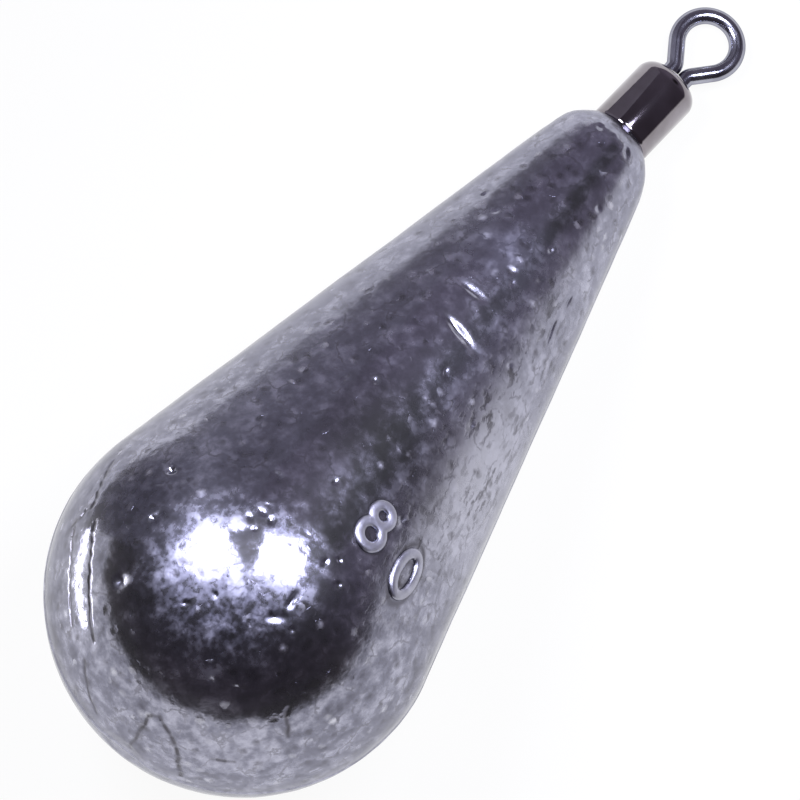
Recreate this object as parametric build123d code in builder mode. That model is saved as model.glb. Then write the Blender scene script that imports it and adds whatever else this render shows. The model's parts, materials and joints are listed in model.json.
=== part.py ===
import os
from math import asin, atan2, cos, degrees, hypot, radians, sin, sqrt, tan

from build123d import *

os.makedirs("parts", exist_ok=True)

# A cast-lead fishing sinker with a barrel swivel cast into its narrow end, lying on its side.
# It rests on its bulb and its narrow end, so the long axis dips towards the line eye.
# +X runs from the bulb to the line eye, +Z is up, and the origin is on the table under the middle.

# Lead weight
bulb_diameter = 20.5
lead_length = 42.8
lead_top_diameter = 5.3
neck_angle = 45.0
land_width = 0.12
gate_flat_diameter = 2.9
seam_width = 0.35
seam_height = 0.06

# Swivel barrel, a short tube with its ends rolled in
barrel_diameter = 3.64
barrel_length = 5.6
barrel_sunk_depth = 1.15
barrel_wall = 0.44
barrel_end_wall = 0.75
barrel_shoulder_radius = 0.8
barrel_foot_chamfer = 0.5

# Wire eyes, each one length of wire with an upset head inside the barrel
wire_diameter = 0.9
eye_inner_diameter = 2.36
eye_standoff = 2.8
leg_spread_angle = 37.0
leg_bend_radius = 0.6
leg_gap = 0.02
head_thickness = 0.6
head_chamfer = 0.15
head_side_clearance = 0.13
running_clearance = 0.05
anchor_wire_sides = 8

# The swivel was set a little askew in the mould
swivel_lean = 5.0
swivel_root_depth = 2.0

# The lead is a ball with a cone tangent to it
bulb_radius = bulb_diameter / 2
top_radius = lead_top_diameter / 2
top_height = lead_length - bulb_radius
cone_angle = asin(bulb_radius / hypot(top_height, top_radius)) - atan2(top_radius, top_height)

# It tips until the cone or the barrel's rolled shoulder meets the table
barrel_radius = barrel_diameter / 2
barrel_proud = barrel_length - barrel_sunk_depth
shoulder_height = top_height + barrel_proud - barrel_shoulder_radius
shoulder_inset = barrel_radius - barrel_shoulder_radius
shoulder_reach = hypot(shoulder_height, shoulder_inset)
shoulder_angle = asin((bulb_radius - barrel_shoulder_radius) / shoulder_reach)
dip = min(cone_angle, shoulder_angle - atan2(shoulder_inset, shoulder_height))

# The bulb's place that puts the middle of the overall length over the origin
lean = radians(swivel_lean)
ring_radius = (eye_inner_diameter + wire_diameter) / 2
eye_reach = (swivel_root_depth + barrel_proud + eye_standoff) * cos(lean)
tip = (top_height - swivel_root_depth + eye_reach + ring_radius) * cos(dip) + wire_diameter / 2
bulb_x = (bulb_radius - tip) / 2

# Directions of the lead's axis, of its upper side and of the leaning swivel
up_side = Vector(sin(dip), 0, cos(dip))
along = Vector(cos(dip), 0, -sin(dip))
swivel_along = along * cos(lean) - Vector(0, 1, 0) * sin(lean)
swivel_across = along * sin(lean) + Vector(0, 1, 0) * cos(lean)

# The swivel's axis leaves the lead's axis at its root, below the lead's top
bulb_centre = Vector(bulb_x, 0, bulb_radius)
swivel_root = bulb_centre + along * (top_height - swivel_root_depth)
lead_top = swivel_root + swivel_along * swivel_root_depth
barrel_foot = lead_top - swivel_along * barrel_sunk_depth
barrel_middle = barrel_foot + swivel_along * (barrel_length / 2)
lead_axis = Axis(bulb_centre, along)
swivel_axis = Axis(barrel_foot, swivel_along)

# Profile planes, on which local x runs outwards and local y runs towards the line eye
lead_plane = Plane(bulb_centre, x_dir=up_side, z_dir=(0, 1, 0))
seam_plane = Plane(bulb_centre, x_dir=(0, -1, 0), z_dir=up_side)
neck_plane = Plane(lead_top, x_dir=up_side, z_dir=swivel_across)
barrel_plane = Plane(barrel_foot, x_dir=up_side, z_dir=swivel_across)
eye_plane = Plane(barrel_middle, x_dir=-swivel_across, z_dir=up_side)

# The anchor eye mirrors the line eye, and its profile plane faces the other way
anchor_plane = Plane(barrel_middle, x_dir=swivel_across, z_dir=up_side)
swivel_middle_plane = Plane(barrel_middle, z_dir=swivel_along)

# The two legs stand side by side in the bore, and the head bears on the end wall from inside
leg_offset = (wire_diameter + leg_gap) / 2
bore_radius = wire_diameter + leg_gap / 2 + running_clearance
chamber_radius = barrel_radius - barrel_wall
head_radius = chamber_radius - head_side_clearance
head_middle = barrel_length / 2 - barrel_end_wall - running_clearance - head_thickness / 2
ring_centre = barrel_length / 2 + eye_standoff
spread = radians(leg_spread_angle)
leg_corner = ring_centre + (leg_offset * cos(spread) - ring_radius) / sin(spread)

# Outside of the barrel, which also shapes its seat in the lead
with BuildSketch(barrel_plane) as barrel_outline:
    Rectangle(barrel_radius, barrel_length, align=(Align.MIN, Align.MIN))
    barrel_corners = barrel_outline.vertices().group_by(Axis.X)[-1].sort_by(Axis.Y)
    chamfer(barrel_corners[0], barrel_foot_chamfer)
    fillet(barrel_corners[-1], barrel_shoulder_radius)

# Swivel barrel: a rolled shoulder outside, a chamber for the two heads inside
with BuildPart() as swivel_barrel:
    revolve(barrel_outline.sketch, axis=swivel_axis)
    with BuildSketch(barrel_plane):
        Rectangle(bore_radius, barrel_length, align=(Align.MIN, Align.MIN))
        with Locations((0, barrel_end_wall)):
            chamber_length = barrel_length - 2 * barrel_end_wall
            Rectangle(chamber_radius, chamber_length, align=(Align.MIN, Align.MIN))
    revolve(axis=swivel_axis, mode=Mode.SUBTRACT)

swivel_barrel.part.label = "swivel_barrel"
export_step(swivel_barrel.part, "parts/swivel_barrel.step")

# Route of the wire: a round loop whose two legs draw together and run into the barrel
with BuildLine(eye_plane) as eye_route:
    leg = FilletPolyline(
        (leg_offset, head_middle),
        (leg_offset, leg_corner),
        (ring_radius * cos(spread), ring_centre - ring_radius * sin(spread)),
        radius=leg_bend_radius,
    )
    CenterArc((0, ring_centre), ring_radius, -leg_spread_angle, 180 + 2 * leg_spread_angle)
    mirror(leg, about=barrel_plane)

# Line eye: the wire, and the head that its legs were upset into
with BuildPart() as line_eye:
    with BuildSketch(Plane(leg @ 0, z_dir=leg % 0)):
        Circle(wire_diameter / 2)
    sweep(path=eye_route.wire())
    with BuildSketch(eye_plane) as head_outline:
        with Locations((0, head_middle)):
            Rectangle(head_radius, head_thickness, align=(Align.MIN, Align.CENTER))
        chamfer(head_outline.vertices().group_by(Axis.X)[-1].sort_by(Axis.Y)[0], head_chamfer)
    revolve(axis=swivel_axis)

line_eye.part.label = "line_eye"
export_step(line_eye.part, "parts/line_eye.step")

# Anchor eye: the same eye at the barrel's other end, out of sight in the lead
with BuildPart() as anchor_eye:
    with BuildLine() as anchor_route:
        mirror(eye_route.line, about=swivel_middle_plane)
    anchor_wire = anchor_route.wire()
    with BuildSketch(Plane(anchor_wire @ 0, x_dir=up_side, z_dir=anchor_wire % 0)):
        RegularPolygon(wire_diameter / 2, anchor_wire_sides)
    sweep(path=anchor_wire)
    with BuildSketch(anchor_plane) as anchor_head_outline:
        with Locations((0, head_middle)):
            Rectangle(head_radius, head_thickness, align=(Align.MIN, Align.CENTER))
        chamfer(anchor_head_outline.vertices().group_by(Axis.X)[-1].sort_by(Axis.Y)[0], head_chamfer)
    revolve(axis=swivel_axis)

anchor_eye.part.label = "anchor_eye"
export_step(anchor_eye.part, "parts/anchor_eye.step")

# Lead weight: ball and cone in one turned profile
with BuildPart() as lead_weight:
    with BuildSketch(lead_plane):
        with BuildLine():
            ball = CenterArc((0, 0), bulb_radius, -90, 90 + degrees(cone_angle))
            mould_height = top_height + top_radius
            mould_radius = bulb_radius / cos(cone_angle) - mould_height * tan(cone_angle)
            Polyline(ball @ 1, (mould_radius, mould_height), (0, mould_height), ball @ 0)
        make_face()
    revolve(axis=lead_axis)

    # Fine seam where the two halves of the mould met
    with BuildSketch(seam_plane):
        with BuildLine():
            seam_radius = bulb_radius + seam_height
            seam_ball = CenterArc((0, 0), seam_radius, -90, 90 + degrees(cone_angle))
            seam_top_radius = seam_radius / cos(cone_angle) - top_height * tan(cone_angle)
            Polyline(seam_ball @ 1, (seam_top_radius, top_height), (0, top_height))
            mirror(about=Plane.YZ)
        make_face()
    extrude(amount=seam_width / 2, both=True)

    # The neck slopes in to a narrow land round the barrel, square to the swivel
    with BuildSketch(neck_plane):
        with BuildLine():
            land_radius = barrel_radius + land_width
            neck_slope = PolarLine((land_radius, 0), 2 * lead_top_diameter, -neck_angle)
            Polyline(
                neck_slope @ 1,
                ((neck_slope @ 1).X, 2 * lead_top_diameter),
                (0, 2 * lead_top_diameter),
                (0, 0),
                (land_radius, 0),
            )
        make_face()
    revolve(axis=swivel_axis, mode=Mode.SUBTRACT)

    # The pouring gate was clipped off flush at the round end
    gate_depth = sqrt(bulb_radius**2 - (gate_flat_diameter / 2) ** 2)
    split(bisect_by=Plane(bulb_centre - along * gate_depth, z_dir=along), keep=Keep.TOP)

    # Room for the buried end of the swivel
    revolve(barrel_outline.sketch, axis=swivel_axis, mode=Mode.SUBTRACT)
    add(anchor_eye.part, mode=Mode.SUBTRACT)

lead_weight.part.label = "lead_weight"
export_step(lead_weight.part, "parts/lead_weight.step")
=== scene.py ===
import json
from math import asin, atan2, cos, hypot, pi, radians, sin, sqrt, tan

import bpy
import numpy as np
from mathutils import Matrix, Vector


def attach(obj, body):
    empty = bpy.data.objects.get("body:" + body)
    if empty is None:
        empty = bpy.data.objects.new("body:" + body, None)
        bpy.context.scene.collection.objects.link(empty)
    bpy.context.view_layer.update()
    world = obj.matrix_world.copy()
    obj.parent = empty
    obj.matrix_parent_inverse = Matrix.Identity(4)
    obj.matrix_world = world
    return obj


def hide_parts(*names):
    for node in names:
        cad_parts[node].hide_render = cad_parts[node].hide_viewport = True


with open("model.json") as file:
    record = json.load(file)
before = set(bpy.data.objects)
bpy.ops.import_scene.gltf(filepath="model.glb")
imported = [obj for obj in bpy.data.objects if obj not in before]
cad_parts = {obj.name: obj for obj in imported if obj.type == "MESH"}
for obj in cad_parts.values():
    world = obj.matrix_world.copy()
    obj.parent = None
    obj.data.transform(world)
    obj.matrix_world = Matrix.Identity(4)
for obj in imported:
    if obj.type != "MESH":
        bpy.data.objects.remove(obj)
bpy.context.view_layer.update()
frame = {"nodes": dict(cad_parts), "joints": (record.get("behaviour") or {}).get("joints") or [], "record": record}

# Line eye: one length of bright nickel-plated wire, bent to a round loop on two legs.
# The legs run side by side through the barrel's end and are upset into one flat head inside,
# so the eye turns freely and can't pull out. At rest the loop lies with its flat side up.
mm = 0.001
wire_radius = 0.45 * mm
loop_radius = 1.63 * mm
loop_height = 5.6 * mm
leg_offset = 0.46 * mm
leg_spread = radians(37.0)
leg_bend_radius = 0.6 * mm
head_radius = 1.25 * mm
head_thickness = 0.6 * mm
head_height = 1.7 * mm
head_rounding = 0.12 * mm
head_sides = 64
wire_sides = 28
bend_steps = 8
loop_steps = 72

# The swivel's own frame: z along its axis, y square to the loop, the origin in the barrel's middle
eye_spin = frame["joints"][0]
swivel_middle = Vector(eye_spin["pos_m"])
swivel_along = Vector(eye_spin["axis"]).normalized()
loop_normal = Vector(frame["record"]["mounts"][0]["axis"]).normalized()
swivel_rows = Matrix((loop_normal.cross(swivel_along), loop_normal, swivel_along))
swivel_frame = Matrix.Translation(swivel_middle) @ swivel_rows.transposed().to_4x4()


def deselect_all():
    """Deselects every object."""
    bpy.ops.object.select_all(action="DESELECT")


def draw_by(x, z):
    """Extrudes what is selected by a straight step in the drawing plane."""
    bpy.ops.mesh.extrude_region_move(TRANSFORM_OT_translate={"value": (x, 0, z)})


def swing(x, z, angle, steps):
    """Spins what is selected about a point of the drawing plane, from z towards x for a plus angle."""
    bpy.ops.mesh.spin(steps=steps, angle=angle, center=(x, 0, z), axis=(0, -1, 0))


def settle(piece, place):
    """Puts a drawn piece in its place and leaves its object at the origin."""
    bpy.ops.object.mode_set(mode="OBJECT")
    deselect_all()
    piece.select_set(True)
    bpy.context.view_layer.objects.active = piece
    piece.matrix_world = place
    bpy.ops.object.transform_apply(location=True, rotation=True, scale=True)


def close_skin():
    """Merges doubles and turns all faces outwards, in edit mode."""
    bpy.ops.mesh.select_all(action="SELECT")
    bpy.ops.mesh.remove_doubles(threshold=0.001 * mm)
    bpy.ops.mesh.normals_make_consistent(inside=False)


def take_modifier(piece, kind, **settings):
    """Adds a modifier to a piece, sets it and applies it."""
    bpy.context.view_layer.objects.active = piece
    modifier = piece.modifiers.new(kind.lower(), kind)
    for name, value in settings.items():
        setattr(modifier, name, value)
    bpy.ops.object.modifier_apply(modifier=modifier.name)


bend_tangent = leg_bend_radius * tan(leg_spread / 2)
leg_corner = loop_height + (leg_offset * cos(leg_spread) - loop_radius) / sin(leg_spread)
bend_height = leg_corner - bend_tangent
leg_run = bend_height - head_height
tangent_x = loop_radius * cos(leg_spread)
tangent_z = loop_height - loop_radius * sin(leg_spread)
slope_run = hypot(tangent_x - leg_offset, tangent_z - leg_corner) - bend_tangent
slope_x = slope_run * sin(leg_spread)
slope_z = slope_run * cos(leg_spread)

deselect_all()
bpy.ops.mesh.primitive_circle_add(
    vertices=wire_sides, radius=wire_radius, location=(leg_offset, 0, head_height)
)
eye = bpy.context.object
eye.name = "eye_wire_loop"
bpy.ops.object.transform_apply(location=True)
bpy.ops.object.mode_set(mode="EDIT")
bpy.ops.mesh.select_all(action="SELECT")
draw_by(0, leg_run)
swing(leg_offset + leg_bend_radius, bend_height, leg_spread, bend_steps)
draw_by(slope_x, slope_z)
swing(0, loop_height, -(pi + 2 * leg_spread), loop_steps)
draw_by(slope_x, -slope_z)
swing(-leg_offset - leg_bend_radius, bend_height, leg_spread, bend_steps)
draw_by(0, -leg_run)
bpy.ops.mesh.select_all(action="DESELECT")
bpy.ops.mesh.select_mode(type="EDGE")
bpy.ops.mesh.select_non_manifold()
bpy.ops.mesh.edge_face_add()
close_skin()
bpy.ops.object.mode_set(mode="OBJECT")

bpy.ops.mesh.primitive_cylinder_add(
    vertices=head_sides, radius=head_radius, depth=head_thickness, location=(0, 0, head_height)
)
eye_head = bpy.context.object
bpy.ops.object.transform_apply(location=True)
take_modifier(eye_head, "BEVEL", width=head_rounding, segments=3, limit_method="ANGLE")
take_modifier(eye, "BOOLEAN", operation="UNION", object=eye_head, solver="EXACT")
bpy.data.objects.remove(eye_head)
settle(eye, swivel_frame)
bpy.ops.object.shade_smooth_by_angle(angle=radians(40))


def new_material(name):
    """Starts a node material and gives its tree and its shader."""
    material = bpy.data.materials.new(name)
    material.use_nodes = True
    tree = material.node_tree
    return material, tree, tree.nodes["Principled BSDF"]


def set_finish(shader, **values):
    """Sets what is the same all over a surface on its shader."""
    for name, value in values.items():
        shader.inputs[name.replace("_", " ")].default_value = value


def feed(tree, socket, value):
    """Gives a socket a plain value, or links it to the output of another node."""
    if isinstance(value, bpy.types.NodeSocket):
        tree.links.new(value, socket)
    else:
        socket.default_value = value


def add_node(tree, kind, **sockets):
    """Adds a node and feeds its sockets by name."""
    node = tree.nodes.new(kind)
    for name, value in sockets.items():
        feed(tree, node.inputs[name.replace("_", " ")], value)
    return node


def add_ramp(tree, factor, stops):
    """Adds a colour ramp with a colour at each stop."""
    node = add_node(tree, "ShaderNodeValToRGB", Fac=factor)
    ramp = node.color_ramp
    ramp.elements[0].position = stops[0][0]
    ramp.elements[0].color = (*stops[0][1], 1)
    ramp.elements[1].position = stops[-1][0]
    ramp.elements[1].color = (*stops[-1][1], 1)
    for position, colour in stops[1:-1]:
        ramp.elements.new(position).color = (*colour, 1)
    return node.outputs["Color"]


def add_range(tree, value, low, high, to_low, to_high):
    """Maps a value from one range to another and holds it within that."""
    limits = {"From_Min": low, "From_Max": high, "To_Min": to_low, "To_Max": to_high}
    return add_node(tree, "ShaderNodeMapRange", Value=value, **limits).outputs["Result"]


def add_bump(tree, height, strength, depth, **under):
    """Adds a bump, on top of another one where that is given as the Normal."""
    node = add_node(tree, "ShaderNodeBump", Height=height, Strength=strength, Distance=depth, **under)
    return node.outputs["Normal"]


def dress(piece, material):
    """Gives a piece one material all over."""
    piece.data.materials.clear()
    piece.data.materials.append(material)


wire_dark = (0.31, 0.31, 0.37)
wire_pale = (0.46, 0.465, 0.54)
nickel, tree, shader = new_material("bright_nickel_wire")
spots = add_node(tree, "ShaderNodeTexCoord").outputs["Object"]
haze = add_node(tree, "ShaderNodeTexNoise", Vector=spots, Scale=900.0, Detail=4.0).outputs["Fac"]
draw_lines = add_node(tree, "ShaderNodeTexNoise", Vector=spots, Scale=5200.0, Detail=2.0).outputs["Fac"]
tint = add_ramp(tree, haze, [(0.3, wire_dark), (0.7, wire_pale)])
tree.links.new(tint, shader.inputs["Base Color"])
tree.links.new(add_range(tree, haze, 0.3, 0.7, 0.12, 0.22), shader.inputs["Roughness"])
tree.links.new(add_bump(tree, draw_lines, 0.25, 0.01 * mm), shader.inputs["Normal"])
set_finish(shader, Metallic=1.0, Specular_Tint=(0.5, 0.5, 0.54, 1))
dress(eye, nickel)
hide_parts("line_eye")
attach(eye, "eye")

# Anchor eye: the same bent wire at the barrel's other end, sealed in the lead where it holds
# the swivel in the casting. It is out of sight, so the solid stays and takes the wire's finish.
dress(frame["nodes"]["anchor_eye"], nickel)

# Swivel barrel: a short turned tube of dark-plated brass under clear lacquer, with its end rolled
# in and room inside for the heads of the two eyes. Its foot is cast into the lead, and a rolled
# edge shows just above the joint.
barrel_radius = 1.82 * mm
barrel_half = 2.8 * mm
shoulder_radius = 0.8 * mm
foot_radius = 1.5 * mm
foot_roll = 0.32 * mm
foot_height = -1.4 * mm
bore_radius = 0.96 * mm
chamber_radius = 1.38 * mm
end_wall = 0.75 * mm
foot_steps = 8
shoulder_steps = 16
barrel_sides = 96


def start_outline(name, x, z):
    """Starts a new mesh as one point of the drawing plane, left in edit mode."""
    deselect_all()
    bpy.ops.mesh.primitive_plane_add(size=mm)
    piece = bpy.context.object
    piece.name = name
    bpy.ops.object.mode_set(mode="EDIT")
    bpy.ops.mesh.select_mode(type="VERT")
    bpy.ops.mesh.select_all(action="SELECT")
    bpy.ops.mesh.merge(type="CENTER")
    bpy.ops.transform.translate(value=(x, 0, z))
    return piece


# The outline goes up the outside from the foot, in at the rolled end, and back down the inside
barrel = start_outline("swivel_barrel_shell", bore_radius, -barrel_half)
draw_by(foot_radius - bore_radius, 0)
draw_by(0, foot_height - foot_roll + barrel_half)
swing(foot_radius, foot_height, -pi / 2, foot_steps)
draw_by(0, barrel_half - shoulder_radius - foot_height)
swing(barrel_radius - shoulder_radius, barrel_half - shoulder_radius, -pi / 2, shoulder_steps)
draw_by(bore_radius - barrel_radius + shoulder_radius, 0)
draw_by(0, -end_wall)
draw_by(chamber_radius - bore_radius, 0)
draw_by(0, 2 * (end_wall - barrel_half))
draw_by(bore_radius - chamber_radius, 0)
draw_by(0, -end_wall)
bpy.ops.mesh.select_all(action="SELECT")
bpy.ops.mesh.spin(steps=barrel_sides, angle=2 * pi, center=(0, 0, 0), axis=(0, 0, 1))
close_skin()
settle(barrel, swivel_frame)
bpy.ops.object.shade_smooth_by_angle(angle=radians(35))

plating_dark = (0.17, 0.145, 0.165)
plating_pale = (0.27, 0.24, 0.275)
plating, tree, shader = new_material("dark_barrel_plating")
spots = add_node(tree, "ShaderNodeTexCoord").outputs["Object"]
wear = add_node(tree, "ShaderNodeTexNoise", Vector=spots, Scale=700.0, Detail=5.0).outputs["Fac"]
grit = add_node(tree, "ShaderNodeTexNoise", Vector=spots, Scale=4500.0, Detail=3.0).outputs["Fac"]
tint = add_ramp(tree, wear, [(0.3, plating_dark), (0.7, plating_pale)])
tree.links.new(tint, shader.inputs["Base Color"])
tree.links.new(add_range(tree, wear, 0.3, 0.7, 0.05, 0.09), shader.inputs["Roughness"])
tree.links.new(add_bump(tree, grit, 0.15, 0.012 * mm), shader.inputs["Normal"])
set_finish(shader, Metallic=1.0, Coat_Weight=1.0, Coat_Roughness=0.06, Coat_IOR=1.8)
dress(barrel, plating)
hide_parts("swivel_barrel")
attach(barrel, "weight")

# Lead weight: a pear-shaped casting of soft grey lead, poured round the foot of the swivel.
# The mould's two halves left a fine seam along both sides, and the pouring gate was clipped
# off at the round end. The skin is bright but mottled, with pits, nicks and fine scratches.
bulb_radius = 10.25 * mm
bulb_middle = Vector((-15.224, 0, 10.25)) * mm
lead_top_height = 32.55 * mm
lead_top_radius = 2.65 * mm
lead_dip = radians(13.512)
gate_flat_radius = 1.45 * mm
swivel_lean = radians(5.0)
swivel_root_depth = 2.0 * mm
land_radius = 1.94 * mm
neck_reach = 6.0 * mm
neck_softness = 0.3 * mm
land_softness = 0.02 * mm
mould_overrun = 1.2 * mm
seam_width = 0.16 * mm
seam_height = 0.06 * mm
seam_end = 1.2 * mm

# How finely the skin is divided: along the ball, along the cone, across the flat ends and around
ball_steps = 92
cone_cuts = 155
cone_edge = 5.0 * mm
flat_cuts = 8
flat_edge = 1.0 * mm
seam_band = radians(5.0)
seam_steps = 18
side_steps = 138

lead_along = Vector((cos(lead_dip), 0, -sin(lead_dip)))
lead_upper = Vector((sin(lead_dip), 0, cos(lead_dip)))
lead_rows = Matrix((lead_upper, lead_along.cross(lead_upper), lead_along))
lead_frame = Matrix.Translation(bulb_middle) @ lead_rows.transposed().to_4x4()
reach = hypot(lead_top_height, lead_top_radius)
taper = asin(bulb_radius / reach) - atan2(lead_top_radius, lead_top_height)
gate_height = -sqrt(bulb_radius**2 - gate_flat_radius**2)
gate_angle = asin(-gate_height / bulb_radius)
tangent_height = bulb_radius * sin(taper)
mould_height = lead_top_height + mould_overrun
mould_radius = bulb_radius / cos(taper) - mould_height * tan(taper)

lead = start_outline("lead_casting", 0, gate_height)
draw_by(gate_flat_radius, 0)
swing(0, 0, -(gate_angle + taper), ball_steps)
draw_by(mould_radius - bulb_radius * cos(taper), mould_height - tangent_height)
draw_by(-mould_radius, 0)


def split_edges(longest, cuts):
    """Cuts the outline's edges that are longer than a length into equal parts."""
    bpy.ops.mesh.select_mode(type="EDGE")
    bpy.ops.object.mode_set(mode="OBJECT")
    mesh = bpy.context.object.data
    for edge in mesh.edges:
        start, end = (mesh.vertices[v].co for v in edge.vertices)
        edge.select = (end - start).length > longest
    bpy.ops.object.mode_set(mode="EDIT")
    bpy.ops.mesh.subdivide(number_cuts=cuts)


split_edges(cone_edge, cone_cuts)
split_edges(flat_edge, flat_cuts)

# The outline is turned in four runs, with close steps at the two seams
bpy.ops.mesh.select_all(action="SELECT")
bpy.ops.transform.rotate(
    value=-(pi / 2 + seam_band / 2), orient_axis="Z", center_override=(0, 0, 0)
)
for run, steps in 2 * [(seam_band, seam_steps), (pi - seam_band, side_steps)]:
    bpy.ops.mesh.spin(steps=steps, angle=run, center=(0, 0, 0), axis=(0, 0, 1))
close_skin()
bpy.ops.object.mode_set(mode="OBJECT")

# Marks of use, each at a height over the bulb's middle in mm and a turn from the upper side in
# degrees: round pits with a radius, nicks with a half length, a half width, a depth and a slant
# from square to the axis, and scratches as the points that they run through
pits = [
    (0.8, -39, 0.3), (-1.8, -33, 0.32), (-5.2, -34, 0.42), (-4.5, -10, 0.2), (-3.4, -4, 0.16),
    (-2.3, 20, 0.2), (1.4, 15, 0.2), (2.0, 18, 0.17), (1.0, 22, 0.24), (-6.5, 13, 0.17),
    (-6.0, 21, 0.2), (1.3, -4.3, 0.22), (1.4, -8, 0.2), (0.4, -6.6, 0.18), (0.8, -10, 0.16),
    (1.9, -8, 0.15), (-1.9, -34, 0.18), (3.6, -12, 0.18), (5.2, 3, 0.2), (6.1, 27.9, 0.24),
    (21.9, 22, 0.2), (23.6, 17, 0.18), (21.2, 6, 0.22), (20.6, 10, 0.17), (12.9, 32, 0.2),
    (10.4, -18, 0.22), (11.2, -9, 0.22), (17.0, 33, 0.18), (14.1, 10, 0.18), (24.2, -43, 0.22),
    (23.6, -26, 0.24), (31.4, -15, 0.2), (31.4, 2, 0.18), (31.2, 24, 0.24), (27.5, 30, 0.17),
    (-7.4, 150, 0.3), (4.0, 120, 0.26), (9.0, -130, 0.3), (15.5, 170, 0.26), (2.0, -165, 0.34),
    (20.0, 135, 0.22), (-3.0, -120, 0.28), (6.5, 95, 0.24), (13.0, -100, 0.26), (25.0, -150, 0.2),
]
nicks = [
    (16.43, 4.0, 1.05, 0.26, 0.16, -14),
    (18.8, -3.0, 0.8, 0.24, 0.11, -2),
    (-2.36, 14.1, 0.5, 0.26, 0.12, 41),
    (-1.19, 14.5, 0.52, 0.2, 0.1, 95),
    (20.3, 46.0, 0.16, 0.9, 0.07, 12),
    (22.4, 47.0, 0.14, 0.5, 0.06, 0),
    (0.8, -39.0, 0.3, 0.24, 0.12, 30),
    (7.0, -150.0, 0.9, 0.24, 0.12, 30),
    (-2.0, 160.0, 0.7, 0.22, 0.1, -40),
    (18.0, 120.0, 0.6, 0.2, 0.09, 65),
]
scratches = [
    [(-10.2, 18), (-9.6, 5), (-9.09, 3.5), (-8.92, 8.6), (-9.26, 31), (-9.67, 73)],
    [(-5.08, 38.6), (-5.5, 45), (-5.8, 50)],
    [(-8.68, 47.6), (-8.12, 53)],
    [(0.25, -65.5), (-1.2, -62), (-2.35, -59.3), (-3.55, -67.6)],
    [(-3.64, -65.6), (-5.14, -61.4), (-6.57, -58.6), (-7.65, -56.8)],
    [(-3.17, -54.6), (-4.9, -49.8), (-6.51, -45.7), (-7.89, -41.3)],
    [(-8.67, -48.9), (-9.47, -52.1), (-9.91, -54)],
    [(4.0, -140), (9.0, -120), (13.0, -112)],
    [(-4.0, 110), (0.0, 128), (3.0, 150)],
]
pit_depth_share = 0.4
mark_rim_share = 0.4
mark_reach = 3.5
scratch_width = 0.12 * mm
scratch_depth = 0.035 * mm
scratch_step = 0.4 * mm
scratch_sway = 0.05 * mm
scratch_reach = 2.5 * scratch_width
corner_cut = 0.1


def lead_spot(height, turn):
    """A point of the lead's skin in its own frame, and the direction square to the skin there."""
    around = np.array((cos(turn), sin(turn)))
    if height < tangent_height:
        radius = sqrt(bulb_radius**2 - height**2)
        point = np.array((*(radius * around), height))
        return point, point / bulb_radius
    radius = bulb_radius / cos(taper) - height * tan(taper)
    return np.array((*(radius * around), height)), np.array((*(cos(taper) * around), sin(taper)))


def onto_skin(point):
    """Moves a point near the lead's skin straight out to it."""
    if point[2] < tangent_height:
        return bulb_radius * point / np.linalg.norm(point)
    return lead_spot(point[2], atan2(point[1], point[0]))[0]


def axis_distances(points):
    """How far points lie from the lead's axis, never quite nothing."""
    return np.maximum(np.hypot(points[:, 0], points[:, 1]), 1e-9)


def skin_normals(points):
    """The direction square to the ball or the cone at each of the lead's points."""
    radii = axis_distances(points)
    on_cone = points[:, 2] > tangent_height
    tilt = np.where(on_cone, taper, np.arctan2(points[:, 2], radii))
    out = np.cos(tilt) / radii
    return np.column_stack((points[:, 0] * out, points[:, 1] * out, np.sin(tilt)))


# No two pits are alike: each is longer one way, at a slant of its own
marks = []
for count, (height, turn, radius) in enumerate(pits):
    length = radius * (1.1 + 0.25 * sin(2.3 * count)) * mm
    width = radius * (0.8 + 0.15 * sin(3.7 * count)) * mm
    marks.append((pit_depth_share * width, (height * mm, radians(turn), length, width, 1.3 * count)))
for height, turn, length, width, depth, slant in nicks:
    marks.append((depth * mm, (height * mm, radians(turn), length * mm, width * mm, radians(slant))))

# A scratch has its corners cut off, wavers a little and is deeper in some runs than in others
scratch_runs = []
for line in scratches:
    corners = [lead_spot(height * mm, radians(turn))[0] for height, turn in line]
    inner = []
    for a, b in zip(corners[:-1], corners[1:]):
        inner += [(1 - corner_cut) * a + corner_cut * b, corner_cut * a + (1 - corner_cut) * b]
    corners = [corners[0], *inner[1:-1], corners[-1]]
    trail = [corners[0]]
    for a, b in zip(corners[:-1], corners[1:]):
        parts = max(1, round(np.linalg.norm(b - a) / scratch_step))
        trail += [a + (b - a) * (part + 1) / parts for part in range(parts)]
    for count, point in enumerate(trail):
        sway = np.array((sin(2.9 * count), sin(4.7 * count + 1), sin(3.7 * count + 2)))
        trail[count] = onto_skin(point + scratch_sway * sway)
    for count, (start, end) in enumerate(zip(trail[:-1], trail[1:])):
        scratch_runs.append((start, end, 0.7 + 0.3 * sin(2.2 * count + len(scratch_runs))))


def mark_spread(points, height, turn, length, width, slant):
    """How far points lie from a mark's middle, where 1 is about its edge."""
    middle, normal = lead_spot(height, turn)
    around = np.array((-sin(turn), cos(turn), 0))
    along = np.cross(normal, around)
    away = points - middle
    u = away @ (around * cos(slant) + along * sin(slant))
    v = away @ (along * cos(slant) - around * sin(slant))
    w = away @ normal
    return (u / length) ** 2 + (v / width) ** 2 + (w / length) ** 4


def run_distance(points, start, end):
    """How far points lie from one straight run of a scratch."""
    step = end - start
    share = np.clip((points - start) @ step / (step @ step), 0, 1)
    return np.linalg.norm(points - start - share[:, None] * step, axis=1)


def mesh_points(mesh):
    """The places of a mesh's points."""
    flat = np.empty(3 * len(mesh.vertices))
    mesh.vertices.foreach_get("co", flat)
    return flat.reshape(-1, 3)


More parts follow.
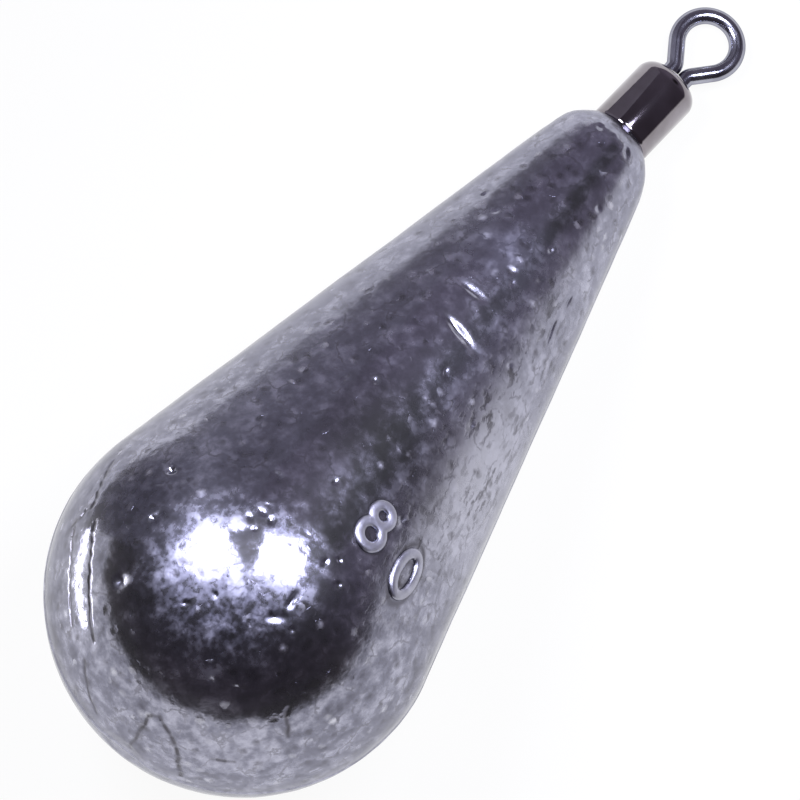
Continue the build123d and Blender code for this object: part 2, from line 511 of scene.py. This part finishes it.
def face_middles(mesh):
    """The places of the middles of a mesh's faces."""
    flat = np.empty(3 * len(mesh.polygons))
    mesh.polygons.foreach_get("center", flat)
    return flat.reshape(-1, 3)


def divide_faces(piece, chosen):
    """Subdivides those of the chosen faces of a piece that have four corners."""
    corners = np.empty(len(piece.data.polygons), int)
    piece.data.polygons.foreach_get("loop_total", corners)
    bpy.context.view_layer.objects.active = piece
    bpy.ops.object.mode_set(mode="EDIT")
    bpy.ops.mesh.select_mode(type="FACE")
    bpy.ops.mesh.select_all(action="DESELECT")
    bpy.ops.object.mode_set(mode="OBJECT")
    piece.data.polygons.foreach_set("select", chosen & (corners == 4))
    bpy.ops.object.mode_set(mode="EDIT")
    bpy.ops.mesh.subdivide(number_cuts=2)
    bpy.ops.object.mode_set(mode="OBJECT")


# The skin is divided more finely where the marks are
lead_mesh = lead.data
middles = face_middles(lead_mesh)
near_mark = np.zeros(len(middles), bool)
for _, mark in marks:
    near_mark |= mark_spread(middles, *mark) < mark_reach
for start, end, _ in scratch_runs:
    near_mark |= run_distance(middles, start, end) < scratch_reach
divide_faces(lead, near_mark)

# The neck slopes in to a narrow land, square to the leaning swivel. Each pass brings the skin
# nearer to the slope, and the first leaves a soft edge.
neck_passes = 6
deepest_inset = 0.98
points = mesh_points(lead_mesh)
normals = skin_normals(points)
radii = axis_distances(points)
outwards = np.column_stack((points[:, 0] / radii, points[:, 1] / radii, np.zeros(len(points))))
lean_axis = np.array((0, sin(swivel_lean), cos(swivel_lean)))
swivel_root = np.array((0, 0, lead_top_height - swivel_root_depth))
on_neck = points[:, 2] > lead_top_height - neck_reach
for neck_pass in range(neck_passes):
    away = points - swivel_root
    axial = away @ lean_axis
    radial = np.linalg.norm(away - axial[:, None] * lean_axis, axis=1)
    excess = radial - land_radius - (swivel_root_depth - axial)
    softness = neck_softness if neck_pass == 0 else land_softness
    inset = np.where(on_neck, (excess + np.sqrt(excess**2 + softness**2)) / 2, 0)
    inset = np.minimum(inset, deepest_inset * np.hypot(points[:, 0], points[:, 1]))
    points -= outwards * inset[:, None]
axial = (points - swivel_root) @ lean_axis
points -= np.maximum(axial - swivel_root_depth, 0)[:, None] * lean_axis

# Seam, pits and nicks with a low rim, and scratches
seam_fade = np.clip((lead_top_height - seam_end - points[:, 2]) / mm, 0, 1)
seam = np.exp(-((points[:, 0] / seam_width) ** 2)) * seam_fade
relief = seam_height * seam
for depth, mark in marks:
    spread = mark_spread(points, *mark)
    relief -= depth * (1 - mark_rim_share * spread) * np.exp(-spread)
scratched = np.zeros(len(points))
for start, end, strength in scratch_runs:
    across = run_distance(points, start, end) / scratch_width
    scratched = np.maximum(scratched, strength * np.exp(-(across**2)))
relief -= scratch_depth * scratched
points += relief[:, None] * normals
lead_mesh.vertices.foreach_set("co", points.ravel())
lead_mesh.update()


def mark_points(mesh, name, values):
    """Gives each point of a mesh a value that its material reads by name."""
    mesh.attributes.new(name, "FLOAT", "POINT").data.foreach_set("value", values)


# Dark tarnish stays in the scratches, and the seam's crest is rubbed bright
scratch_tarnish = 1.5
seam_wear = 0.6
mark_points(lead_mesh, "tarnish_and_shade", np.clip(scratch_tarnish * scratched, 0, 1))
mark_points(lead_mesh, "rubbed_and_highlight", seam_wear * seam)

# One flank was dragged over the ground, and its skin is streaked and dull there
flank_turn = radians(39)
flank_half_turn = radians(29)
flank_height = 12.5 * mm
flank_reach = 11.0 * mm
turns = np.arctan2(points[:, 1], points[:, 0])
flank_spread = ((turns - flank_turn) / flank_half_turn) ** 2
flank_spread += ((points[:, 2] - flank_height) / flank_reach) ** 2
mark_points(lead_mesh, "dragged", np.exp(-(flank_spread**2)))

# The mould's own unevenness, in two sizes
for name, grain, lift in (("mould_waves", 4.0 * mm, 0.06 * mm), ("mould_grain", 1.1 * mm, 0.022 * mm)):
    waves = bpy.data.textures.new(name, "CLOUDS")
    waves.noise_scale = grain
    waves.noise_depth = 2
    take_modifier(lead, "DISPLACE", texture=waves, strength=lift, mid_level=0.5)
settle(lead, lead_frame)
bpy.ops.object.shade_smooth_by_angle(angle=radians(50))

# The lead's own greys and the colours of its wear; the rubbed and tarnish colours also serve as painted highlight
# and painted shade on the figures
lead_dark = (0.085, 0.082, 0.118)
lead_grey = (0.213, 0.213, 0.284)
lead_pale = (0.46, 0.46, 0.57)
cone_grey = (0.5, 0.5, 0.62)
flank_grey = (0.62, 0.62, 0.72)
fresh_scuff = (0.74, 0.74, 0.84)
rubbed_and_highlight_pale = (0.6, 0.6, 0.7)
dark_patch_grey = (0.03, 0.028, 0.036)
grime = (0.07, 0.065, 0.085)
tarnish_and_shade_black = (0.045, 0.04, 0.055)

# Where the wear and the pale and dark patches lie, in the part's frame
pale_flank = Vector((-3.4, -6.6, 12.0)) * mm
dark_patch_middle = Vector((-4.9, -1.4, 16.3)) * mm
rubbed_crown = Vector((-15.4, 0.8, 20.4)) * mm
polished_spot = Vector((-13.3, 0.7, 20.3)) * mm
rubbed_cone = Vector((7.3, 0.8, 10.1)) * mm
cone_paling = (-14.0 * mm, 2.0 * mm)
cone_dulling = (-12.0 * mm, 0.0)

cast_lead, tree, shader = new_material("cast_lead")
spots = add_node(tree, "ShaderNodeTexCoord").outputs["Object"]
patches = add_node(tree, "ShaderNodeTexNoise", Vector=spots, Scale=210.0, Detail=4.0, Roughness=0.6)
mottle = add_node(tree, "ShaderNodeTexNoise", Vector=spots, Scale=1150.0, Detail=5.0, Roughness=0.56)
grains = add_node(tree, "ShaderNodeTexNoise", Vector=spots, Scale=3000.0, Detail=2.0, Roughness=0.5)
clusters = add_node(tree, "ShaderNodeTexNoise", Vector=spots, Scale=330.0, Detail=3.0).outputs["Fac"]


def add_shift(tree, place, noise, reach):
    """Shifts a place by a noise, so that a pattern drawn there comes out ragged."""
    node = tree.nodes.new("ShaderNodeVectorMath")
    node.operation = "MULTIPLY_ADD"
    feed(tree, node.inputs[0], noise.outputs["Color"])
    feed(tree, node.inputs[1], (reach, reach, reach))
    feed(tree, node.inputs[2], place)
    return node.outputs["Vector"]


def add_nearness(tree, place, middle, near, far):
    """How near a place is to a middle: 1 up to the near distance and 0 from the far one."""
    node = tree.nodes.new("ShaderNodeVectorMath")
    node.operation = "DISTANCE"
    feed(tree, node.inputs[0], place)
    feed(tree, node.inputs[1], middle)
    return add_range(tree, node.outputs["Value"], near, far, 1.0, 0.0)


def add_math(tree, operation, *values):
    """Adds a maths node; each value is a number or the output of another node."""
    node = tree.nodes.new("ShaderNodeMath")
    node.operation = operation
    for socket, value in zip(node.inputs, values):
        feed(tree, socket, value)
    return node.outputs["Value"]


def add_blend(tree, share, first, second):
    """Mixes two colours, each plain or the output of another node."""
    node = add_node(tree, "ShaderNodeMixRGB", Fac=share)
    for socket, colour in zip(node.inputs[1:], (first, second)):
        feed(tree, socket, colour if isinstance(colour, bpy.types.NodeSocket) else (*colour, 1))
    return node.outputs["Color"]


def add_reading(tree, name):
    """Reads a value that a mesh holds at each of its points, or nothing where it holds none."""
    node = tree.nodes.new("ShaderNodeAttribute")
    node.attribute_name = name
    return node.outputs["Fac"]


# Each cell of the specks has a number of its own: high ones are bright scuffs, low ones dark pores,
# and both come in clusters
ragged = add_shift(tree, spots, grains, 0.35 * mm)
specks = add_node(tree, "ShaderNodeTexVoronoi", Vector=ragged, Scale=1450.0)
cells = add_node(tree, "ShaderNodeSeparateColor", Color=specks.outputs["Color"])
cell = cells.outputs["Red"]
spot = add_range(tree, specks.outputs["Distance"], 0.02, 0.45, 1.0, 0.0)
crowd = add_range(tree, clusters, 0.4, 0.62, 0.0, 0.42)
scuff = add_math(tree, "GREATER_THAN", add_math(tree, "ADD", cell, crowd), 1.01)
scuff = add_math(tree, "MULTIPLY", add_math(tree, "MULTIPLY", spot, scuff), cells.outputs["Green"])
pore = add_math(tree, "LESS_THAN", cell, add_range(tree, clusters, 0.38, 0.6, 0.12, 0.42))
pore = add_math(tree, "MULTIPLY", spot, pore)

# Fine broken cracks run all over, and the dragged flank has dark streaks along the lead
mottling = mottle.outputs["Fac"]
crackle = tree.nodes.new("ShaderNodeTexVoronoi")
crackle.feature = "DISTANCE_TO_EDGE"
feed(tree, crackle.inputs["Vector"], add_shift(tree, ragged, mottle, 1.2 * mm))
feed(tree, crackle.inputs["Scale"], 520.0)
crack = add_range(tree, crackle.outputs["Distance"], 0.012, 0.05, 1.0, 0.0)
crack = add_math(tree, "MULTIPLY", crack, add_range(tree, mottling, 0.46, 0.58, 0.0, 0.5))
dragged = add_reading(tree, "dragged")
streak_shape = (3.2, 1, 1)
lengthened = add_node(
    tree, "ShaderNodeMapping", Vector=ragged, Rotation=(0, lead_dip, 0), Scale=streak_shape
)
lengthened.vector_type = "TEXTURE"
streaks = add_node(
    tree, "ShaderNodeTexNoise", Vector=lengthened.outputs["Vector"], Scale=2600.0, Detail=3.0
)
streak = add_range(tree, streaks.outputs["Fac"], 0.53, 0.64, 0.0, 0.9)
streak = add_math(tree, "MULTIPLY", streak, dragged)
streak = add_math(tree, "MULTIPLY", streak, add_range(tree, clusters, 0.42, 0.56, 0.4, 1.0))

# Colour: mottled greys, paler along the cone and one flank, darker in a patch on the shoulder, then scuffs, grime
# and tarnish; the figures' rubbed tops and tarnished feet are also painted highlight and painted shade
shade = add_math(tree, "MULTIPLY_ADD", patches.outputs["Fac"], 0.6, mottling)
shade = add_math(tree, "MULTIPLY_ADD", grains.outputs["Fac"], 0.25, shade)
shade = add_range(tree, shade, 0.62, 1.22, 0.0, 1.0)
tint = add_ramp(tree, shade, [(0.05, lead_dark), (0.45, lead_grey), (0.85, lead_pale)])
lengthwise = add_node(tree, "ShaderNodeSeparateXYZ", Vector=spots).outputs["X"]
tint = add_blend(tree, add_range(tree, lengthwise, *cone_paling, 0.0, 0.26), tint, cone_grey)
paling = add_nearness(tree, spots, pale_flank, 2.0 * mm, 7.0 * mm)
tint = add_blend(tree, add_math(tree, "MULTIPLY", paling, 0.5), tint, flank_grey)
# A darker patch on the shoulder, between the bulb and the cone, broken up by the mottle
dark_patch_share = add_nearness(tree, spots, dark_patch_middle, 1.0 * mm, 4.8 * mm)
dark_patch_share = add_math(tree, "MULTIPLY", dark_patch_share, add_range(tree, mottling, 0.4, 0.66, 1.0, 0.55))
tint = add_blend(tree, dark_patch_share, tint, dark_patch_grey)
tint = add_blend(tree, scuff, tint, fresh_scuff)
tint = add_blend(tree, crack, tint, grime)
tint = add_blend(tree, streak, tint, grime)
tint = add_blend(tree, add_math(tree, "MULTIPLY", pore, 0.8), tint, grime)
# Rubbed places are paler: the seam's crest, and the figures' tops, where the paler colour is also a painted
# highlight
rubbed_and_highlight = add_reading(tree, "rubbed_and_highlight")
tint = add_blend(tree, add_math(tree, "MULTIPLY", rubbed_and_highlight, 0.5), tint, rubbed_and_highlight_pale)
# Tarnish darkens the scratches, and round the figures' feet it is also painted shade
tarnish_and_shade = add_reading(tree, "tarnish_and_shade")
tarnish_and_shade = add_math(tree, "MULTIPLY", tarnish_and_shade, add_range(tree, mottling, 0.4, 0.58, 0.65, 1.0))
tint = add_blend(tree, tarnish_and_shade, tint, tarnish_and_shade_black)
tree.links.new(tint, shader.inputs["Base Color"])

# Gloss: the cone is duller than the bulb, and the scuffs and rubbed places are duller still.
# The bulb's crown is frosted round a spot that kept its polish, and a thin grey bloom lies over all.
dull = add_range(tree, patches.outputs["Fac"], 0.3, 0.7, 0.05, 0.12)
dull = add_math(tree, "ADD", dull, add_range(tree, lengthwise, *cone_dulling, 0.0, 0.08))
dull = add_math(tree, "ADD", dull, add_range(tree, mottling, 0.45, 0.7, 0.0, 0.12))
dull = add_math(tree, "MULTIPLY_ADD", scuff, 0.32, dull)
dull = add_math(tree, "MULTIPLY_ADD", rubbed_and_highlight, 0.3, dull)
dull = add_math(tree, "MULTIPLY_ADD", dragged, 0.14, dull)
crown = add_nearness(tree, spots, rubbed_crown, 2.0 * mm, 6.0 * mm)
polish = add_nearness(tree, spots, polished_spot, 0.5 * mm, 2.2 * mm)
crown = add_math(tree, "MULTIPLY", crown, add_math(tree, "SUBTRACT", 1.0, polish))
frosting = add_math(tree, "MULTIPLY_ADD", mottling, 0.4, grains.outputs["Fac"])
frosting = add_range(tree, frosting, 0.52, 0.86, 0.14, 0.4)
dull = add_math(tree, "MULTIPLY_ADD", crown, frosting, dull)
rubbed = add_nearness(tree, spots, rubbed_cone, 0.8 * mm, 3.5 * mm)
dull = add_math(tree, "MULTIPLY_ADD", rubbed, 0.16, dull)
tree.links.new(dull, shader.inputs["Roughness"])
set_finish(shader, Metallic=1.0, Specular_Tint=(0.56, 0.56, 0.61, 1))
set_finish(shader, Coat_Weight=1.0, Coat_Roughness=0.4, Coat_IOR=1.55)

# Relief too fine for the mesh: scuffs stand up, pores and streaks are sunk, and the skin is grainy
hollows = add_math(tree, "ADD", pore, streak)
pore_bump = add_bump(tree, add_math(tree, "SUBTRACT", scuff, hollows), 0.5, 0.03 * mm)
grain_bump = add_bump(tree, grains.outputs["Fac"], 0.3, 0.012 * mm, Normal=pore_bump)
skin_bump = add_bump(tree, mottling, 0.4, 0.03 * mm, Normal=grain_bump)
tree.links.new(skin_bump, shader.inputs["Normal"])
dress(lead, cast_lead)
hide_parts("lead_weight")
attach(lead, "weight")

# Weight figures: the weight in grams, cut into the mould, so it stands up from the lead in
# round strokes across the shoulder of the bulb. Each figure is bent to the skin it stands on.
stroke_radius = 0.34 * mm
stroke_sunk = 0.1 * mm
stroke_top = 0.14 * mm
stroke_flatness = 0.45
stroke_foot = 0.3 * mm
stroke_foot_softness = 0.35 * stroke_foot
stroke_foot_tarnish_and_shade = 0.9
figure_grain = 0.05 * mm
ring_steps = 56
stroke_sides = 12

# A figure's rings, each with a radius, a height in the figure and a lengthening in mm, and then
# the figure's height over the bulb's middle in mm and its turn from the upper side in degrees
eight = [(0.56, 0.62, 0.0), (0.68, -0.62, 0.0)]
nought = [(0.68, 0.0, 0.55)]
figures = [("figure_eight", eight, 4.9, 21.5), ("figure_nought", nought, 4.2, 39.5)]

for name, rings, figure_height, figure_turn in figures:
    strokes = []
    for ring_radius, ring_up, stretch in rings:
        deselect_all()
        bpy.ops.mesh.primitive_torus_add(
            major_segments=ring_steps,
            minor_segments=stroke_sides,
            major_radius=ring_radius * mm,
            minor_radius=stroke_radius,
        )
        ring = bpy.context.object
        for vertex in ring.data.vertices:
            vertex.co.y += (ring_up + stretch * sin(atan2(vertex.co.y, vertex.co.x))) * mm
        strokes.append(ring)
    deselect_all()
    for ring in strokes:
        ring.select_set(True)
    figure = strokes[0]
    bpy.context.view_layer.objects.active = figure
    if len(strokes) > 1:
        bpy.ops.object.join()
    figure.name = name
    take_modifier(figure, "REMESH", mode="VOXEL", voxel_size=figure_grain, use_smooth_shade=True)
    take_modifier(figure, "SMOOTH", factor=0.5, iterations=4)

    # The strokes are sunk in the skin, flattened on top and wrapped round it
    lifts = np.empty(len(figure.data.vertices))
    for vertex in figure.data.vertices:
        across, up, out = vertex.co
        out -= stroke_sunk
        out = min(out, stroke_top + stroke_flatness * (out - stroke_top))
        lifts[vertex.index] = out
        height = figure_height * mm + up * cos(taper)
        radius = np.hypot(*lead_spot(height, 0)[0][:2])
        point, normal = lead_spot(height, radians(figure_turn) + across / radius)
        vertex.co = Vector(point + normal * out)
    # The tops are painted paler, for rubbing and as a painted highlight, and the feet darker, for tarnish and as
    # painted shade
    mark_points(figure.data, "rubbed_and_highlight", np.clip(lifts / stroke_top, 0.2, 1))
    mark_points(figure.data, "tarnish_and_shade", stroke_foot_tarnish_and_shade * np.clip(1 - 2 * lifts / stroke_top, 0, 1))
    settle(figure, lead_frame)
    dress(figure, cast_lead)
    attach(figure, "weight")


def stroke_distance(points):
    """How far points of the lead lie from the middle line of the nearest stroke, along the skin."""
    places = (points - np.array(bulb_middle)) @ np.array(lead_rows).T
    turns = np.arctan2(places[:, 1], places[:, 0])
    nearest = np.full(len(points), np.inf)
    for _, rings, figure_height, figure_turn in figures:
        across = (turns - radians(figure_turn)) * np.hypot(places[:, 0], places[:, 1])
        up = (places[:, 2] - figure_height * mm) / cos(taper)
        for ring_radius, ring_up, stretch in rings:
            squeezed = (up - ring_up * mm) * ring_radius / (ring_radius + stretch)
            nearest = np.minimum(nearest, np.abs(np.hypot(across, squeezed) - ring_radius * mm))
    return nearest


# Dark tarnish and painted shade lie round the feet of the strokes too
divide_faces(lead, stroke_distance(face_middles(lead_mesh)) < 2 * stroke_foot)
tarnish_and_shade_held = np.empty(len(lead_mesh.vertices))
lead_mesh.attributes["tarnish_and_shade"].data.foreach_get("value", tarnish_and_shade_held)
from_foot = (stroke_distance(mesh_points(lead_mesh)) - stroke_foot) / stroke_foot_softness
tarnish_and_shade_held = np.maximum(tarnish_and_shade_held, stroke_foot_tarnish_and_shade * np.exp(-(from_foot**2)))
lead_mesh.attributes["tarnish_and_shade"].data.foreach_set("value", tarnish_and_shade_held)

# Table and light: a plain white table, a pale horizon under a dark ceiling, and two soft lamps.
# Bright metal shows what is round it, so the ceiling gives the dark middle and the table the rims.
table_size = 6.0
paper_white = (0.9, 0.9, 0.9, 1)
paper_glow = 0.94
deselect_all()
bpy.ops.mesh.primitive_plane_add(size=table_size, location=(0, 0, 0))
table = bpy.context.object
table.name = "table"
white_paper, tree, shader = new_material("white_paper")
set_finish(shader, Base_Color=paper_white, Roughness=1.0, Specular_IOR_Level=0.0)
rays = add_node(tree, "ShaderNodeLightPath").outputs
seen = add_math(tree, "MAXIMUM", rays["Is Camera Ray"], rays["Is Glossy Ray"])
seen = add_math(tree, "MAXIMUM", seen, rays["Is Transmission Ray"])
glow = add_node(tree, "ShaderNodeEmission", Color=(1, 1, 1, 1), Strength=1.0)
paper_mix = add_node(tree, "ShaderNodeMixShader", Fac=add_range(tree, seen, 0.0, 1.0, 0.0, paper_glow))
tree.links.new(shader.outputs["BSDF"], paper_mix.inputs[1])
tree.links.new(glow.outputs["Emission"], paper_mix.inputs[2])
tree.links.new(paper_mix.outputs["Shader"], tree.nodes["Material Output"].inputs["Surface"])
table.data.materials.append(white_paper)

# The surroundings are white up to a tilted edge, and above it a ceiling that pales towards one wall
ceiling_tilt = (0.09, 0.07, 0.99)
pale_wall = (1.0, 0.0, -0.25)
dark_door = (0.828, -0.26, 0.497)
ceiling_far = (0.055, 0.046, 0.057)
ceiling_middle = (0.088, 0.076, 0.1)
ceiling_near = (0.2, 0.176, 0.23)
door_colour = (0.03, 0.027, 0.03)
world = bpy.data.worlds.new("studio")
bpy.context.scene.world = world
world.use_nodes = True
tree = world.node_tree
looking = add_node(tree, "ShaderNodeTexCoord").outputs["Generated"]


def along_way(tree, way):
    """How far the looking direction goes along another direction."""
    node = tree.nodes.new("ShaderNodeVectorMath")
    node.operation = "DOT_PRODUCT"
    feed(tree, node.inputs[0], looking)
    feed(tree, node.inputs[1], way)
    return node.outputs["Value"]


ceiling = add_ramp(
    tree, along_way(tree, pale_wall), [(0.0, ceiling_far), (0.3, ceiling_middle), (0.75, ceiling_near)]
)
door = add_range(tree, along_way(tree, dark_door), 0.965, 0.995, 0.0, 1.0)
ceiling = add_blend(tree, door, ceiling, door_colour)
overhead = add_range(tree, along_way(tree, ceiling_tilt), 0.02, 0.12, 0.0, 1.0)
sky = add_blend(tree, overhead, (1.0, 1.0, 1.0), ceiling)
tree.links.new(sky, tree.nodes["Background"].inputs["Color"])


def hang_light(light, place, turn):
    """Hangs a light at a place, turned as given."""
    holder = bpy.data.objects.new(light.name, light)
    bpy.context.scene.collection.objects.link(holder)
    holder.location = place
    holder.rotation_euler = turn


# Each lamp has a direction from the bulb, a size and a power
lamp_distance = 130 * mm
lamp_colour = (0.8, 0.82, 1.0)
lamps = [
    ("lamp_left", Vector((0.1065, 0.4648, 0.8786)), 44 * mm, 0.16),
    ("lamp_right", Vector((0.4977, -0.1139, 0.8594)), 54 * mm, 0.16),
]
for name, direction, lamp_size, lamp_power in lamps:
    lamp = bpy.data.lights.new(name, "AREA")
    lamp.shape = "DISK"
    lamp.size = lamp_size
    lamp.energy = lamp_power
    lamp.color = lamp_colour
    lamp_turn = direction.to_track_quat("Z", "Y").to_euler()
    hang_light(lamp, bulb_middle + lamp_distance * direction, lamp_turn)

# A dark card keeps the cone's far side dark. It is off the picture and glows faintly, unevenly along its length;
# the camera does not see it, but the metal reflects its glow.
card_size = (80 * mm, 60 * mm, 0)
card_place = (16 * mm, 38 * mm, 30 * mm)
card_fade = (-6.0 * mm, 34.0 * mm)
felt_grey = (0.05, 0.05, 0.055, 1)
card_glow_start = (0.14, 0.13, 0.155)
card_glow_middle = (0.31, 0.30, 0.34)
card_glow_end = (0.17, 0.155, 0.185)
deselect_all()
bpy.ops.mesh.primitive_plane_add(size=1.0)
card = bpy.context.object
card.name = "dark_card"
card.dimensions = card_size
card.rotation_euler = (pi / 2, 0, 0)
card.location = card_place
bpy.ops.object.transform_apply(location=True, rotation=True, scale=True)
glowing_grey_card, tree, shader = new_material("glowing_grey_card")
set_finish(shader, Base_Color=felt_grey, Roughness=1.0, Emission_Strength=1.0)
spots = add_node(tree, "ShaderNodeTexCoord").outputs["Object"]
lengthwise = add_node(tree, "ShaderNodeSeparateXYZ", Vector=spots).outputs["X"]
fade = add_range(tree, lengthwise, *card_fade, 0.0, 1.0)
fade = add_ramp(tree, fade, [(0.0, card_glow_start), (0.45, card_glow_middle), (0.9, card_glow_end)])
tree.links.new(fade, shader.inputs["Emission Color"])
card.data.materials.append(glowing_grey_card)
card.visible_camera = False

# A low strip of light, off the picture too, edges the bulb
strip_place = Vector((-40.0, 38.0, 3.6)) * mm
strip = bpy.data.lights.new("strip", "AREA")
strip.shape = "RECTANGLE"
strip.size = 34 * mm
strip.size_y = 5 * mm
strip.energy = 0.0036
hang_light(strip, strip_place, (-pi / 2, 0, 0))

# Camera: nearly overhead with a long lens, turned so that the eye points to the upper right.
# It looks at a point over the origin, moved a little aside to frame the sinker.
camera_turn = radians(-52.09)
camera_tip = radians(5.0)
camera_distance = 350 * mm
look_height = 8 * mm
aside = Vector((-1.2936 * mm, -1.5785 * mm, 0))
focal_length = 303.4
lens = bpy.data.cameras.new("camera")
lens.lens = focal_length
lens.clip_end = 20.0
camera = bpy.data.objects.new("camera", lens)
bpy.context.scene.collection.objects.link(camera)
camera.rotation_euler = (camera_tip, 0, camera_turn)
turned = camera.rotation_euler.to_matrix()
camera.location = Vector((0, 0, look_height)) + turned @ (aside + Vector((0, 0, camera_distance)))
bpy.context.scene.camera = camera
bpy.context.scene.view_settings.view_transform = "Standard"
